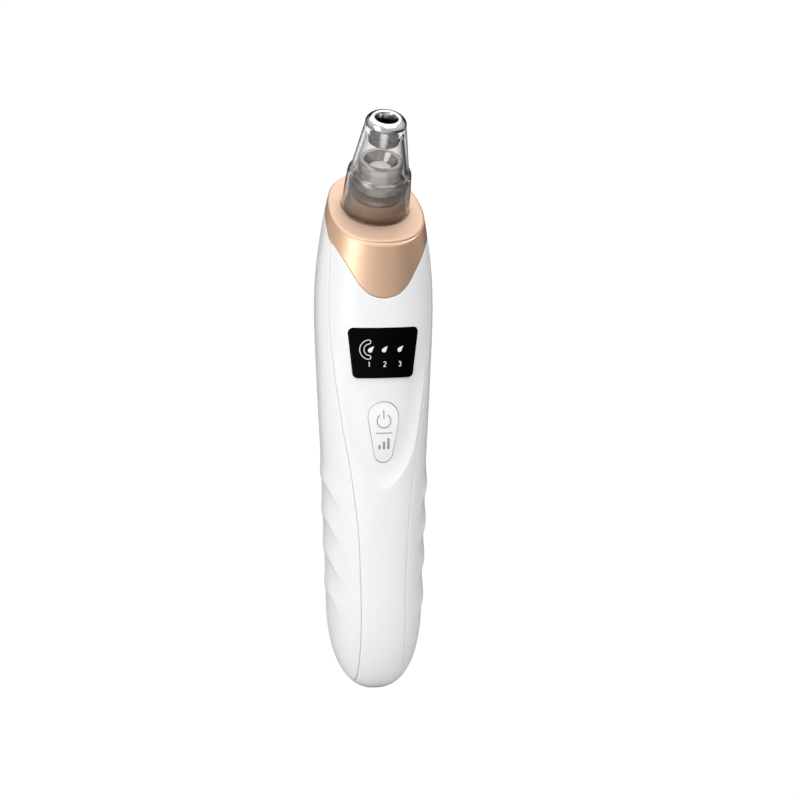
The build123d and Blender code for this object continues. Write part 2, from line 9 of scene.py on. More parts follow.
import bmesh
import bpy
import numpy as np
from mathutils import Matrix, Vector


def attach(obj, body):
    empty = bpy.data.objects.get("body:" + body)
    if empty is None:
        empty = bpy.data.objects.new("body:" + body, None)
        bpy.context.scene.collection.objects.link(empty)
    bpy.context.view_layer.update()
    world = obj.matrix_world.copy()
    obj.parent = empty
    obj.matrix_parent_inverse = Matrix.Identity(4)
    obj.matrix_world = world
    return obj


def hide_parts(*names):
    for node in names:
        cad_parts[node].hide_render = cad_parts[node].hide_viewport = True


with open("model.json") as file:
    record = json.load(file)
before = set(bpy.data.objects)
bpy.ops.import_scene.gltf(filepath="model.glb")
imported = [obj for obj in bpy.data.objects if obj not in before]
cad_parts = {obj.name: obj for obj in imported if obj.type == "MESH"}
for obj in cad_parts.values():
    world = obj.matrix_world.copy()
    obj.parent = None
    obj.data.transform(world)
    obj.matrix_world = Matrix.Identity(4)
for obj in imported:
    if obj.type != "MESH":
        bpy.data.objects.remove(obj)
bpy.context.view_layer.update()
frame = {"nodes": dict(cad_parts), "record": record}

MM = 0.001

# ---------------------------------------------------------------- form of the body, close to the CAD source
POWER = 2.3                    # of the rounded-square cross-sections
DOME_TOP = 28.0                # where the rounded lower end meets the straight body
DOME_POWER = 2.4
DOME_CUT = 0.6                 # what the flat base takes off the rounded end
WALL = 1.7
STATION_Z = [28.0, 50.0, 67.0, 92.0, 113.0, 120.0, 126.0, 133.4, 143.0, 153.0, 160.0]
HALF_WIDTH = [13.95, 14.65, 15.2, 16.4, 17.1, 16.9, 16.4, 15.4, 13.6, 10.8, 8.6]
FRONT_DEPTH = [16.2, 16.2, 16.2, 16.2, 16.2, 16.4, 16.7, 17.0, 17.2, 16.5, 15.0]
BACK_DEPTH = [17.2, 18.4, 19.0, 19.3, 18.8, 18.2, 17.4, 16.3, 14.4, 12.3, 10.5]

SEAM_Z = [-2.0, 22.0, 45.0, 64.0, 82.5, 97.5, 110.0, 118.0, 133.0, 150.0]
SEAM_X = [6.9, 6.6, 7.1, 9.0, 11.9, 13.8, 14.8, 14.85, 14.2, 13.0]
SEAM_Y = -3.0                  # the front shell reaches no further back than this
GAP = 0.06                     # half of the gap along a parting line
ROLL = 0.28                    # rounding of the shells' edges
ROLL_SHARES = np.array([0.75, 0.5, 0.3, 0.15, 0.05, 0.0])  # where its rows lie, from the edge
LEVEL_TOP = 100.0              # the shells' rows are level up to here, then follow the collar's edge
UPPER_SPAN = 30.0              # typical height from there to the collar
BASE_SHARES = (1.0, 0.66, 0.33)  # rows of the shells' flat base, from the seam out to the rim

TILT = math.radians(33.0)      # lean of the head towards the front
HEAD = np.array([0.0, -2.5, 142.6])  # middle of the collar's top face
HEAD_AXIS = np.array([0, -math.sin(TILT), math.cos(TILT)])
HEAD_SIDE = np.array([1.0, 0, 0])
HEAD_UP = np.cross(HEAD_AXIS, HEAD_SIDE)
BAND = 4.0                     # height of the collar's band
TONGUE_X = [0.0, 3.4, 6.5, 9.3, 11.9, 13.3, 14.6]
TONGUE_Z = [117.2, 117.9, 120.3, 124.6, 129.0, 131.5, 133.6]
TONGUE_FADE = (-4.0, -9.0)     # depths between which the band grows into the tongue
RIM_ROLL = 0.7
NECK_R = 7.3
NECK_H = 4.4
NECK_BORE_R = 5.1
PLATE_THICK = 2.0
CONE_FOOT = 1.05               # top of the foot; this and the next five are heights along the head axis
CONE_SHOULDER = 12.3
CONE_TOP = 27.6
TIP_SEAT = 27.65               # underside of the tip's rim
GROOVE_LOW, GROOVE_HIGH = 6.4, 7.8  # of the spout's seal
TIP_BORE_R = 3.0
BARREL_R = 6.2                 # upper end of the spout

SCOOP_DEPTH = 1.4              # the scooped shield is a little larger and deeper than the CAD's
SCOOP_TIP_Z = 60.4
SCOOP_TIP_ANGLE = math.radians(46.0)
SCOOP_SIDE_X = 9.0
SCOOP_SIDE_Z = 69.6
SCOOP_SIDE_ANGLE = math.radians(8.6)
SCOOP_ROUND = 1.9
SCOOP_BAND = 3.9
SCOOP_FADE = (88.0, 110.0)

RIDGE_Z = [62.5, 51.5, 40.6, 29.4]
RIDGE_HEIGHT = 0.55
RIDGE_ABOVE = 3.2              # soft side of each ridge
RIDGE_BELOW = 1.3              # steep side of each ridge
RIDGE_FORWARD = [-6.0, -1.0, 4.0, 8.0, 11.6]
RIDGE_DROP = [-2.5, -1.2, 0.0, 2.6, 6.4]
RIDGE_BACK_FADE = (9.0, 1.0)
RIDGE_FRONT_FADE = (-12.4, -7.5)

SOCKET_HALF_WIDTH = 4.05       # charging opening in the base
SOCKET_HALF_DEPTH = 1.6
SOCKET_REACH = (-1.0, 7.0)

WINDOW_LOW = (8.8, 94.35)      # half width and height of the window's lower and upper corners
WINDOW_TOP = (10.15, 108.75)
WINDOW_CORNER = 1.45
WINDOW_GAP = 0.08
LENS_Y = -15.65
LENS_R = 27.0
LENS_THICK = 1.2
EGG_TOP_Z, EGG_TOP_R = 83.1, 4.4
EGG_LOW_Z, EGG_LOW_R = 72.5, 2.7
EGG_GAP = 0.13
BUTTON_Y = -15.6
BUTTON_BACK_Y = -14.0
BUTTON_R = 30.0
BUTTON_MIDDLE_Z = 78.5
CUT_FRONT_Y, CUT_BACK_Y = -40.0, -5.0
MARK_LIFT = 0.03


def cubic(x, xs, ys, start=None):
    """Smooth monotone curve through a few points, held flat beyond its ends."""
    xs = np.asarray(xs, float)
    ys = np.asarray(ys, float)
    step = np.diff(xs)
    rise = np.diff(ys) / step
    slope = np.zeros(len(xs))
    slope[0] = rise[0] if start is None else start
    slope[-1] = rise[-1]
    for i in range(1, len(xs) - 1):
        if rise[i - 1] * rise[i] > 0:
            slope[i] = 2 * rise[i - 1] * rise[i] / (rise[i - 1] + rise[i])
    x = np.clip(x, xs[0], xs[-1])
    i = np.clip(np.searchsorted(xs, x, side="right") - 1, 0, len(xs) - 2)
    t = (x - xs[i]) / step[i]
    return ((2 * t ** 3 - 3 * t ** 2 + 1) * ys[i] + (t ** 3 - 2 * t ** 2 + t) * step[i] * slope[i]
            + (3 * t ** 2 - 2 * t ** 3) * ys[i + 1] + (t ** 3 - t ** 2) * step[i] * slope[i + 1])


def smooth(value, zero, one):
    """0 to 1 between two values, level at both."""
    t = np.clip((value - zero) / (one - zero), 0, 1)
    return t * t * (3 - 2 * t)


def dome(z):
    """Share of the full width that the rounded lower end leaves at height z."""
    t = np.clip(1 - (z + DOME_CUT) / (DOME_TOP + DOME_CUT), 0, 1)
    return (1 - t ** DOME_POWER) ** (1 / DOME_POWER)


def body_size(z):
    """Half width, front depth and back depth of the body at height z."""
    scale = dome(z)
    columns = (HALF_WIDTH, FRONT_DEPTH, BACK_DEPTH)
    return [cubic(z, STATION_Z, column, start=0.01) * scale for column in columns]


def body_point(theta, z):
    """Point on the body at height z; theta is 0 at the front and grows towards +X."""
    half_width, front, back = body_size(z)
    sine, cosine = np.sin(theta), np.cos(theta)
    x = half_width * np.sign(sine) * np.abs(sine) ** (2 / POWER)
    y = -np.where(cosine > 0, front, back) * np.sign(cosine) * np.abs(cosine) ** (2 / POWER)
    return np.stack([x, y, z + 0 * x], -1)


def seam_angle(z, grow=0.0):
    """Angle of the right-hand seam between the two shells at height z."""
    half_width, front, _ = body_size(z)
    seam = np.minimum(1.0, (cubic(z, SEAM_Z, SEAM_X) + grow) / half_width)
    low = np.clip((-SEAM_Y - grow) / front, 0, 1)
    return np.minimum(np.arcsin(seam ** (POWER / 2)), np.arccos(low ** (POWER / 2)))


def slant(y, height=0.0):
    """Where the plane across the head axis, at a height along it, stands above the base."""
    return HEAD[2] + math.tan(TILT) * (y - HEAD[1]) + height / math.cos(TILT)


def collar_edge(points):
    """Height of the collar's lower edge above each point's place."""
    band = slant(points[..., 1], -BAND)
    tongue = cubic(np.abs(points[..., 0]), TONGUE_X, TONGUE_Z, start=0.0)
    return band - np.maximum(band - tongue, 0) * smooth(points[..., 1], *TONGUE_FADE)


def height_where(angle_at, edge_at, low=108.0, high=158.0):
    """For each column, the height at which the body's surface meets an edge surface."""
    low = np.full(angle_at(low).shape, low)
    high = np.full(low.shape, high)
    for _ in range(40):
        middle = (low + high) / 2
        under = middle < edge_at(body_point(angle_at(middle), middle))
        low = np.where(under, middle, low)
        high = np.where(under, high, middle)
    return (low + high) / 2


def scoop_depth(x, z):
    """Depth of the scooped shield under the body's surface."""
    distances = []
    for hand in (-1, 1):
        distances.append((z - SCOOP_TIP_Z) * math.cos(SCOOP_TIP_ANGLE)
                         - hand * x * math.sin(SCOOP_TIP_ANGLE))
        distances.append((SCOOP_SIDE_X - hand * x) * math.cos(SCOOP_SIDE_ANGLE)
                         + (z - SCOOP_SIDE_Z) * math.sin(SCOOP_SIDE_ANGLE))
    inside = -SCOOP_ROUND * np.log(sum(np.exp(-np.clip(d, -60, 60) / SCOOP_ROUND) for d in distances))
    reach = np.clip(inside / SCOOP_BAND, 0, 1)
    return SCOOP_DEPTH * (1 - (1 - reach) ** 2) * (1 - smooth(z, *SCOOP_FADE))


def ridge_height(points):
    """Soft diagonal grip ridges on the rear shell's sides."""
    y, z = points[..., 1], points[..., 2]
    drop = cubic(-y, RIDGE_FORWARD, RIDGE_DROP)
    total = 0
    for top in RIDGE_Z:
        across = z - (top - drop)
        total = total + np.exp(-(across / np.where(across > 0, RIDGE_ABOVE, RIDGE_BELOW)) ** 2)
    return RIDGE_HEIGHT * smooth(y, *RIDGE_BACK_FADE) * smooth(y, *RIDGE_FRONT_FADE) * total


# ---------------------------------------------------------------- mesh helpers
def new_piece(name, vertices, faces, sharp=35.0):
    """Mesh object from vertices in millimetres, smooth except across sharp edges."""
    mesh = bpy.data.meshes.new(name)
    mesh.from_pydata((np.asarray(vertices, float) * MM).tolist(), [], faces)
    piece = bpy.data.objects.new(name, mesh)
    bpy.context.scene.collection.objects.link(piece)
    clean(piece, sharp)
    return piece


def clean(piece, sharp=35.0):
    """Merges doubled points, drops faces without area, turns normals outwards and marks sharp edges."""
    work = bmesh.new()
    work.from_mesh(piece.data)
    bmesh.ops.remove_doubles(work, verts=work.verts, dist=1e-7)
    bmesh.ops.dissolve_degenerate(work, edges=work.edges, dist=1e-7)
    bmesh.ops.recalc_face_normals(work, faces=work.faces)
    work.to_mesh(piece.data)
    work.free()
    piece.data.shade_smooth()
    piece.data.set_sharp_from_angle(angle=math.radians(sharp))


def grid_faces(rows, columns, wrap_rows=False, wrap_columns=False, offset=0):
    """Quads of a grid of points stored row by row; a wrapped grid joins up with its start."""
    faces = []
    for j in range(rows if wrap_rows else rows - 1):
        for i in range(columns if wrap_columns else columns - 1):
            a, b = j * columns, ((j + 1) % rows) * columns
            k = (i + 1) % columns
            faces.append((offset + a + i, offset + a + k, offset + b + k, offset + b + i))
    return faces


def grid_normals(grid):
    """Unit normals of a grid of points, by differences between neighbours."""
    across = np.gradient(grid, axis=1)
    along = np.gradient(grid, axis=0)
    normal = np.cross(across, along)
    length = np.linalg.norm(normal, axis=-1, keepdims=True)
    return normal / np.maximum(length, 1e-9)


def closed_sheet(name, outer, inner):
    """Solid between two grids that share their layout."""
    rows, columns = outer.shape[:2]
    count = rows * columns
    faces = grid_faces(rows, columns)
    faces += [tuple(reversed(face)) for face in grid_faces(rows, columns, offset=count)]
    rim = list(range(columns))
    rim += [j * columns + columns - 1 for j in range(1, rows)]
    rim += [(rows - 1) * columns + i for i in range(columns - 2, -1, -1)]
    rim += [j * columns for j in range(rows - 2, 0, -1)]
    for a, b in zip(rim, rim[1:] + rim[:1]):
        faces.append((b, a, a + count, b + count))
    vertices = np.concatenate([outer.reshape(-1, 3), inner.reshape(-1, 3)])
    return new_piece(name, vertices, faces)


def rounded_drop(distance, radius=ROLL):
    """How far a rounded edge falls below the surface at a distance from the edge."""
    t = np.clip(1 - distance / radius, 0, 1)
    return radius * (1 - np.sqrt(1 - t * t * 0.96))


def head_ring(radius, height, turn):
    """Ring of points about the head axis; the radius is one number or one for each turn."""
    radius = np.broadcast_to(radius, turn.shape)[:, None]
    return (HEAD + HEAD_AXIS * height
            + radius * (np.cos(turn)[:, None] * HEAD_SIDE + np.sin(turn)[:, None] * HEAD_UP))


def lathe(name, outline, segments=160, sharp=35.0):
    """Closed (radius, height) outline turned about the head axis."""
    turn = np.linspace(0, 2 * math.pi, segments, endpoint=False)
    vertices = np.concatenate([head_ring(radius, height, turn) for radius, height in outline])
    return new_piece(name, vertices, grid_faces(len(outline), segments, True, True), sharp)


def rounded(corners):
    """Outline from (radius, height) corners; a third number is how far a corner is rounded off."""
    longest = 0.45             # share of a side that a rounding may take
    places = [np.array(corner[:2], float) for corner in corners]
    result = []
    for i, (here, corner) in enumerate(zip(places, corners)):
        if len(corner) == 2:
            result.append(corner)
            continue
        before = places[i - 1] - here
        after = places[(i + 1) % len(places)] - here
        start, end = (here + way / np.linalg.norm(way) * min(corner[2], np.linalg.norm(way) * longest)
                      for way in (before, after))
        for t in np.linspace(0, 1, 7):
            result.append(tuple((1 - t) ** 2 * start + 2 * t * (1 - t) * here + t * t * end))
    return result


def cut(piece, cutter):
    """Takes the cutter's volume out of the piece."""
    modifier = piece.modifiers.new("cut", "BOOLEAN")
    modifier.operation = "DIFFERENCE"
    modifier.solver = "EXACT"
    modifier.object = cutter
    graph = bpy.context.evaluated_depsgraph_get()
    mesh = bpy.data.meshes.new_from_object(piece.evaluated_get(graph), depsgraph=graph)
    piece.modifiers.clear()
    old = piece.data
    piece.data = mesh
    mesh.name = piece.name
    bpy.data.meshes.remove(old)
    bpy.data.objects.remove(cutter)
    clean(piece)


def prism(outline, y_front, y_back):
    """Closed cutter along Y from a front-view outline of (x, z) points."""
    count = len(outline)
    vertices = [(x, y_front, z) for x, z in outline] + [(x, y_back, z) for x, z in outline]
    faces = [tuple(range(count)), tuple(reversed(range(count, 2 * count)))]
    for i in range(count):
        k = (i + 1) % count
        faces.append((k, i, i + count, k + count))
    return new_piece("cutter", vertices, faces)


# ---------------------------------------------------------------- shells
def edge_fractions(count, edge, span):
    """Numbers from 0 to 1 that crowd at 1 to round an edge of the given share of the span."""
    share = edge / span
    return np.concatenate([np.linspace(0, 1 - share, count), 1 - share * ROLL_SHARES])


def both_sides(half):
    """Numbers from -1 to 1 from those from 0 to 1."""
    return np.concatenate([-half[::-1], half[1:]])


def shell_grid(columns, angle_at, step):
    """Outer surface between two edges, from the rim of the base up to the collar."""
    top = height_where(lambda z: angle_at(z, columns), lambda p: collar_edge(p) - 2 * GAP)
    dome_rows = DOME_TOP * np.linspace(0, 1, 46) ** 1.9
    level = np.concatenate([dome_rows, np.arange(DOME_TOP + step, LEVEL_TOP, step)])
    upper = edge_fractions(int(1.2 * UPPER_SPAN / step), ROLL, UPPER_SPAN)[1:]
    rows = [np.full(len(columns), z) for z in level]
    rows += [LEVEL_TOP + (top - LEVEL_TOP) * share for share in upper]
    theta = np.stack([angle_at(row, columns) for row in rows])
    return body_point(theta, np.stack(rows)), top


def drop_edges(grid, normals, top, edge_distance):
    """Rounds the grid's side edges and its top edge."""
    above = top[None, :] - grid[..., 2]
    fall = rounded_drop(above) + rounded_drop(edge_distance)
    return grid - normals * np.minimum(fall, ROLL)[..., None]


def walled(name, shell, base_rows, normals):
    """Closed shell of even thickness, from the rows of its flat base and the wall above them."""
    outer = np.concatenate([np.stack(base_rows), shell])
    up = np.broadcast_to([0.0, 0.0, 1.0], (len(base_rows), *shell.shape[1:]))
    inner = outer + np.concatenate([up, -normals]) * WALL
    return closed_sheet(name, outer, inner)


def build_front_shell():
    typical_half_width = 9.0
    columns = both_sides(edge_fractions(58, ROLL, typical_half_width))
    grid, top = shell_grid(columns, lambda z, u: u * seam_angle(z, -GAP), step=0.4)
    normals = grid_normals(grid)
    side = (1 - np.abs(columns))[None, :] * np.abs(grid[:, -1:, 0])
    shell = drop_edges(grid, normals, top, side)
    rounded_rim = shell[0] * np.array([1, 0, 1])
    shell[..., 1] += scoop_depth(shell[..., 0], shell[..., 2])
    base_rows = []
    for share in BASE_SHARES:
        depth = shell[0][:, 1:2] * (1 - share) + SEAM_Y * share
        base_rows.append(rounded_rim + np.array([0, 1, 0]) * depth)
    piece = walled("front_shell_skin", shell, base_rows, normals)
    cut(piece, prism(egg_outline(EGG_GAP), CUT_FRONT_Y, CUT_BACK_Y))
    cut(piece, prism(window_outline(WINDOW_GAP), CUT_FRONT_Y, CUT_BACK_Y))
    return piece


def build_rear_shell():
    half_girth = 24.0
    columns = both_sides(edge_fractions(74, ROLL, half_girth))

    def angle_at(z, u):
        return math.pi + u * (math.pi - seam_angle(z, GAP))

    grid, top = shell_grid(columns, angle_at, step=0.55)
    normals = grid_normals(grid)
    side = (1 - np.abs(columns))[None, :] * half_girth
    shell = drop_edges(grid, normals, top, side)
    shell = shell + normals * (ridge_height(grid) * smooth(side, 0.0, 3.0))[..., None]
    across = np.linspace(shell[0, 0, 0], shell[0, -1, 0], len(columns))
    front_line = np.stack([across, 0 * across + SEAM_Y + GAP, 0 * across], -1)
    base_rows = [shell[0] * (1 - share) + front_line * share for share in BASE_SHARES]
    piece = walled("rear_shell_skin", shell, base_rows, normals)
    low, high = SOCKET_REACH
    left, right = -SOCKET_HALF_WIDTH, SOCKET_HALF_WIDTH
    mouth = [(left, low), (right, low), (right, high), (left, high)]
    cut(piece, prism(mouth, -SOCKET_HALF_DEPTH, SOCKET_HALF_DEPTH))
    return piece


def collar_wall(theta):
    """Outer wall of the collar with its rolled lower edge, and the normals of that wall."""
    low = height_where(lambda z: theta + 0 * z, collar_edge)
    rim = height_where(lambda z: theta + 0 * z, lambda p: slant(p[..., 1]))
    typical_height = 12.0
    shares = 1 - edge_fractions(44, ROLL, typical_height)[::-1]
    heights = low + (rim - low) * shares[:, None]
    wall = np.stack([body_point(theta, z) for z in heights])
    normals = grid_normals(np.concatenate([wall, wall[:, :1]], 1))[:, :-1]
    return wall - normals * rounded_drop(heights - low)[..., None], normals


def build_collar():
    """Collar as one closed form: outer wall, rounded rim, top face, neck, bore, plate and inner wall."""
    outer, normals = collar_wall(np.linspace(0, 2 * math.pi, 240, endpoint=False))
    edge = outer[-1] - HEAD
    turn = np.arctan2(edge @ HEAD_UP, edge @ HEAD_SIDE)
    reach = np.linalg.norm(edge - (edge @ HEAD_AXIS)[:, None] * HEAD_AXIS, axis=1)
    loop = list(outer[:-4])
    for a in np.linspace(0, math.pi / 2, 7):
        loop.append(head_ring(reach - RIM_ROLL * (1 - math.cos(a)), -RIM_ROLL * (1 - math.sin(a)), turn))
    for share in np.linspace(0, 1, 10)[1:]:
        loop.append(head_ring((reach - RIM_ROLL) * (1 - share) + (NECK_R + 0.4) * share, 0.0, turn))
    neck = [(NECK_R + 0.12, 0.12), (NECK_R, 0.4), (NECK_R, NECK_H - 0.2), (NECK_R - 0.2, NECK_H),
            (NECK_BORE_R, NECK_H), (NECK_BORE_R, -PLATE_THICK)]
    for radius, height in neck:
        loop.append(head_ring(radius, height, turn))
    loop.append(head_ring(reach - WALL - 0.3, -PLATE_THICK, turn))
    inner = outer - normals * WALL
    for row in inner[::-6]:
        above_plate = np.maximum((row - HEAD) @ HEAD_AXIS + PLATE_THICK + 0.2, 0)
        loop.append(row - HEAD_AXIS * above_plate[:, None])
    loop.append(inner[0])
    return new_piece("collar_metal", np.concatenate(loop), grid_faces(len(loop), len(turn), True, True), 40.0)


# ---------------------------------------------------------------- window and button
def arc(cx, cz, radius, start, end, steps):
    """Points along an arc between two angles in degrees."""
    turns = np.radians(np.linspace(start, end, steps))
    return [(cx + radius * math.cos(t), cz + radius * math.sin(t)) for t in turns]


def egg_outline(grow=0.0):
    """Egg shape: a large round on top and a small one below, joined by their tangents."""
    lean = math.degrees(math.asin((EGG_TOP_R - EGG_LOW_R) / (EGG_TOP_Z - EGG_LOW_Z)))
    return (arc(0, EGG_TOP_Z, EGG_TOP_R + grow, -lean, 180 + lean, 40)
            + arc(0, EGG_LOW_Z, EGG_LOW_R + grow, 180 + lean, 360 - lean, 40))


def window_outline(grow=0.0):
    """Rounded trapezium of the display window, anticlockwise from its lower left corner."""
    result = []
    corners = ((-1, WINDOW_LOW, 1), (1, WINDOW_LOW, 1), (1, WINDOW_TOP, -1), (-1, WINDOW_TOP, -1))
    for start, (hand, (half_width, z), inwards) in zip((180, 270, 0, 90), corners):
        middle = hand * (half_width - WINDOW_CORNER), z + inwards * WINDOW_CORNER
        result += arc(*middle, WINDOW_CORNER + grow, start, start + 90, 9)
    return result


def densified(outline, step=0.35):
    """Closed outline resampled to nearly equal steps."""
    points = np.array(outline + outline[:1])
    length = np.concatenate([[0], np.cumsum(np.linalg.norm(np.diff(points, axis=0), axis=1))])
    count = int(length[-1] / step)
    at = np.linspace(0, length[-1], count, endpoint=False)
    return np.stack([np.interp(at, length, points[:, i]) for i in (0, 1)], -1)


def outward(points):
    """Unit outward normals of a closed outline that runs anticlockwise."""
    tangent = np.roll(points, -1, 0) - np.roll(points, 1, 0)
    normal = np.stack([tangent[:, 1], -tangent[:, 0]], -1)
    return normal / np.linalg.norm(normal, axis=1, keepdims=True)


def capped_form(name, outline, surface, back, edge):
    """Closed form with a curved front, a rounded border and a flat or curved back."""
    points = densified(outline)
    normals = outward(points)
    centre = points.mean(0)
    rings = []

    def ring(flat, y):
        rings.append(np.stack([flat[:, 0], y + 0 * flat[:, 0], flat[:, 1]], -1))

    ring(points, back(points))
    for t in np.linspace(0, 1, 7):
        a = t * math.pi / 2
        flat = points - normals * edge * (1 - math.cos(a))
        ring(flat, surface(flat) + edge * (1 - math.sin(a)))
    border = points - normals * edge
    for share in np.linspace(1, 0, 16)[1:-1]:
        flat = centre + (border - centre) * share
        ring(flat, surface(flat))
    count = len(points)
    vertices = np.concatenate(rings)
    faces = grid_faces(len(rings), count, False, True)
    tip = len(vertices)
    tail = tip + 1
    centre_row = np.array([centre])
    vertices = np.concatenate([vertices, [[centre[0], surface(centre_row)[0], centre[1]]],
                               [[centre[0], back(centre_row)[0], centre[1]]]])
    last = (len(rings) - 1) * count
    faces += [(last + i, last + (i + 1) % count, tip) for i in range(count)]
    faces += [((i + 1) % count, i, tail) for i in range(count)]
    return new_piece(name, vertices, faces, 50.0)


def lens_surface(points):
    """Depth of the lens's face, which is rounded from side to side."""
    return LENS_Y + LENS_R - np.sqrt(LENS_R ** 2 - points[:, 0] ** 2)


def button_surface(points):
    """Depth of the key's face, which is a shallow dome."""
    from_middle = points[:, 0] ** 2 + (points[:, 1] - BUTTON_MIDDLE_Z) ** 2
    return BUTTON_Y + BUTTON_R - np.sqrt(BUTTON_R ** 2 - from_middle)


def build_window():
    return capped_form("display_lens", window_outline(), lens_surface,
                       lambda p: lens_surface(p) + LENS_THICK, 0.25)


def build_button():
    return capped_form("button_cap", egg_outline(), button_surface,
                       lambda p: BUTTON_BACK_Y + 0 * p[:, 0], 0.3)


def mark_mesh(name, shapes, surface):
    """Printed marks: closed outlines laid on a curved face as thin solids."""
    vertices, faces = [], []
    for outline in shapes:
        points = np.array(outline, float)
        face_y = surface(points)
        base = len(vertices)
        count = len(points)
        vertices += [(x, y - MARK_LIFT, z) for (x, z), y in zip(points, face_y)]
        vertices += [(x, y + MARK_LIFT, z) for (x, z), y in zip(points, face_y)]
        faces.append(tuple(range(base, base + count)))
        faces.append(tuple(range(base + 2 * count - 1, base + count - 1, -1)))
        for i in range(count):
            k = (i + 1) % count
            faces.append((base + k, base + i, base + i + count, base + k + count))
    return new_piece(name, vertices, faces, 30.0)


def stroke(points, width):
    """Short quads along a line of points, short enough to follow a curved face."""
    longest = 0.3
    points = np.array(points, float)
    length = np.concatenate([[0], np.cumsum(np.linalg.norm(np.diff(points, axis=0), axis=1))])
    even = np.linspace(0, length[-1], max(2, int(length[-1] / longest)))
    at = np.unique(np.concatenate([length, even]))
    points = np.stack([np.interp(at, length, points[:, i]) for i in (0, 1)], -1)
    tangent = np.gradient(points, axis=0)
    tangent /= np.linalg.norm(tangent, axis=1, keepdims=True)
    side = np.stack([-tangent[:, 1], tangent[:, 0]], -1) * width / 2
    left, right = points + side, points - side
    return [[tuple(left[i]), tuple(left[i + 1]), tuple(right[i + 1]), tuple(right[i])]
            for i in range(len(points) - 1)]


# ---------------------------------------------------------------- materials
def add(tree, kind, inputs=(), **settings):
    """New shader node; its inputs are given as values or as the sockets that feed them."""
    made = tree.nodes.new("ShaderNode" + kind)
    for name, value in settings.items():
        setattr(made, name, value)
    for key, value in dict(inputs).items():
        if isinstance(value, bpy.types.NodeSocket):
            tree.links.new(value, made.inputs[key])
        else:
            made.inputs[key].default_value = value
    return made


def calculate(tree, operation, first, second=0.0):
    return add(tree, "Math", {0: first, 1: second}, operation=operation).outputs["Value"]


def dot(tree, first, second):
    return add(tree, "VectorMath", {0: first, 1: second}, operation="DOT_PRODUCT").outputs["Value"]


def ramp(tree, value, start, end, low=0.0, high=1.0, curve="LINEAR"):
    """Value that runs from low to high while another runs from start to end."""
    inputs = {"Value": value, "From Min": start, "From Max": end, "To Min": low, "To Max": high}
    return add(tree, "MapRange", inputs, interpolation_type=curve).outputs["Result"]


def blend_colors(tree, factor, first, second, blend="MIX"):
    inputs = {"Factor": factor, "A": first, "B": second}
    return add(tree, "Mix", inputs, data_type="RGBA", blend_type=blend).outputs["Result"]


def feed(tree, node_input, value):
    """Puts a socket in the place of whatever fed an input before."""
    tree.links.new(value, node_input)


def fed_by(node_input):
    return node_input.links[0].from_socket


def material(name, color, roughness=0.4, metallic=0.0, grain=40.0, shade=0.03, vary=0.15, bump=0.02,
             bump_scale=900.0, **extra):
    """Principled surface whose colour, roughness and relief vary with fine and broad noise."""
    made = bpy.data.materials.new(name)
    made.use_nodes = True
    tree = made.node_tree
    shader = tree.nodes["Principled BSDF"]
    shader.inputs["Metallic"].default_value = metallic
    for key, value in extra.items():
        shader.inputs[key.replace("_", " ")].default_value = value
    place = add(tree, "TexCoord").outputs["Object"]
    broad = add(tree, "TexNoise", {"Vector": place, "Scale": grain, "Detail": 4.0}).outputs["Fac"]
    darker = (*[c * (1 - shade) for c in color[:3]], 1)
    lighter = (*[min(1.0, c * (1 + shade)) for c in color[:3]], 1)
    feed(tree, shader.inputs["Base Color"], blend_colors(tree, broad, darker, lighter))
    smoothest, roughest = max(0.0, roughness * (1 - vary)), min(1.0, roughness * (1 + vary))
    feed(tree, shader.inputs["Roughness"], ramp(tree, broad, 0.0, 1.0, smoothest, roughest))
    fine = add(tree, "TexNoise", {"Vector": place, "Scale": bump_scale, "Detail": 3.0}).outputs["Fac"]
    relief = add(tree, "Bump", {"Strength": bump, "Distance": 0.1 * MM, "Height": fine})
    feed(tree, shader.inputs["Normal"], relief.outputs["Normal"])
    return made


WHITE = (1.0, 1.0, 1.0)
PAPER_WHITE = 1.02             # brightness of the floor and the sky to the camera
BLACK_DEPTH = 0.1              # share of the slot's colour that the lens keeps, to be as black as glass
FINISHES = {
    "white_shell": dict(roughness=0.3, shade=0.004, vary=0.03, grain=25.0, bump=0.03, Coat_Weight=0.25,
                        Coat_Roughness=0.12),
    "white_button": dict(roughness=0.35, shade=0.005, vary=0.03, bump=0.03, Coat_Weight=0.15,
                         Coat_Roughness=0.2),
    "rose_gold": dict(roughness=0.43, metallic=1.0, shade=0.02, bump=0.05, bump_scale=2600.0),
    "black_lens": dict(roughness=0.05, shade=0.2, bump=0.005, Specular_IOR_Level=0.04),
    "chrome": dict(roughness=0.07, metallic=1.0, shade=0.01, bump=0.01),
    "grey_plastic": dict(roughness=0.16, metallic=0.8, shade=0.05, bump=0.02, Coat_Weight=0.4),
    "black_plastic": dict(roughness=0.5, shade=0.15, bump=0.3, bump_scale=1800.0),
    "nylon": dict(roughness=0.5, shade=0.04, bump=0.15, Subsurface_Weight=0.1),
    "silicone": dict(roughness=0.45, shade=0.05, bump=0.08, Subsurface_Weight=0.2),
    "dark_rubber": dict(roughness=0.6, shade=0.15, bump=0.2),
    "foam": dict(roughness=0.95, shade=0.12, bump=1.0, bump_scale=2400.0, grain=900.0),
    "circuit_board": dict(roughness=0.3, shade=0.2, bump=0.15, grain=500.0),
    "led": dict(roughness=0.15, shade=0.05, bump=0.01),
    "steel": dict(roughness=0.3, metallic=1.0, shade=0.06, bump=0.1),
    "magnet": dict(roughness=0.75, shade=0.2, bump=0.5),
    "copper": dict(roughness=0.28, metallic=1.0, shade=0.1, bump=0.5, bump_scale=3000.0),
    "bronze": dict(roughness=0.4, metallic=1.0, shade=0.1, bump=0.3),
    "cell_wrap": dict(roughness=0.3, shade=0.08, bump=0.05),
    "red_wire": dict(roughness=0.45, shade=0.08, bump=0.05),
}


